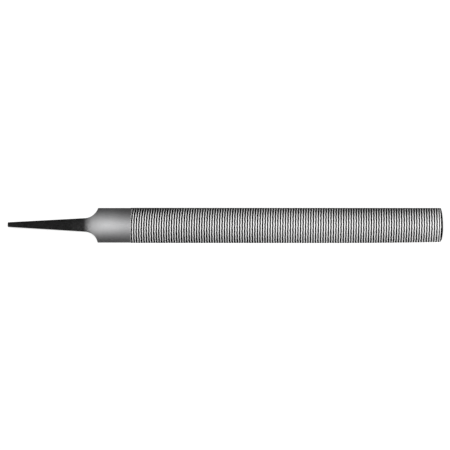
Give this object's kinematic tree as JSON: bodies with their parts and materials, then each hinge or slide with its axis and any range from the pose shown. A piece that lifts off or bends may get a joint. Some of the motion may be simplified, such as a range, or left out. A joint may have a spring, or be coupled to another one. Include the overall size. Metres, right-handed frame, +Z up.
{
  "type": "half round file",
  "caption": "Bare half round hand file with milled teeth on a round and a flat side, a plain heel with curved shoulders and a tapered tang for a handle.",
  "frame": {"origin": "centre of the file's length and width, on the plane of its flat side", "axes": "+X along the file towards the tip, tang towards -X; +Y across; +Z up out of the flat side towards the crest of the round side"},
  "size_m": [0.3778, 0.031, 0.008],
  "materials": {
    "black_tang": "black heat scale, dull",
    "ground_steel": "fine ground steel, satin, fading to black scale at the tang",
    "milled_steel": "hardened steel with bright milled teeth"
  },
  "bodies": {
    "root": {"tang": "black_tang", "heel": "ground_steel", "blade": "milled_steel"}
  },
  "joints": []
}
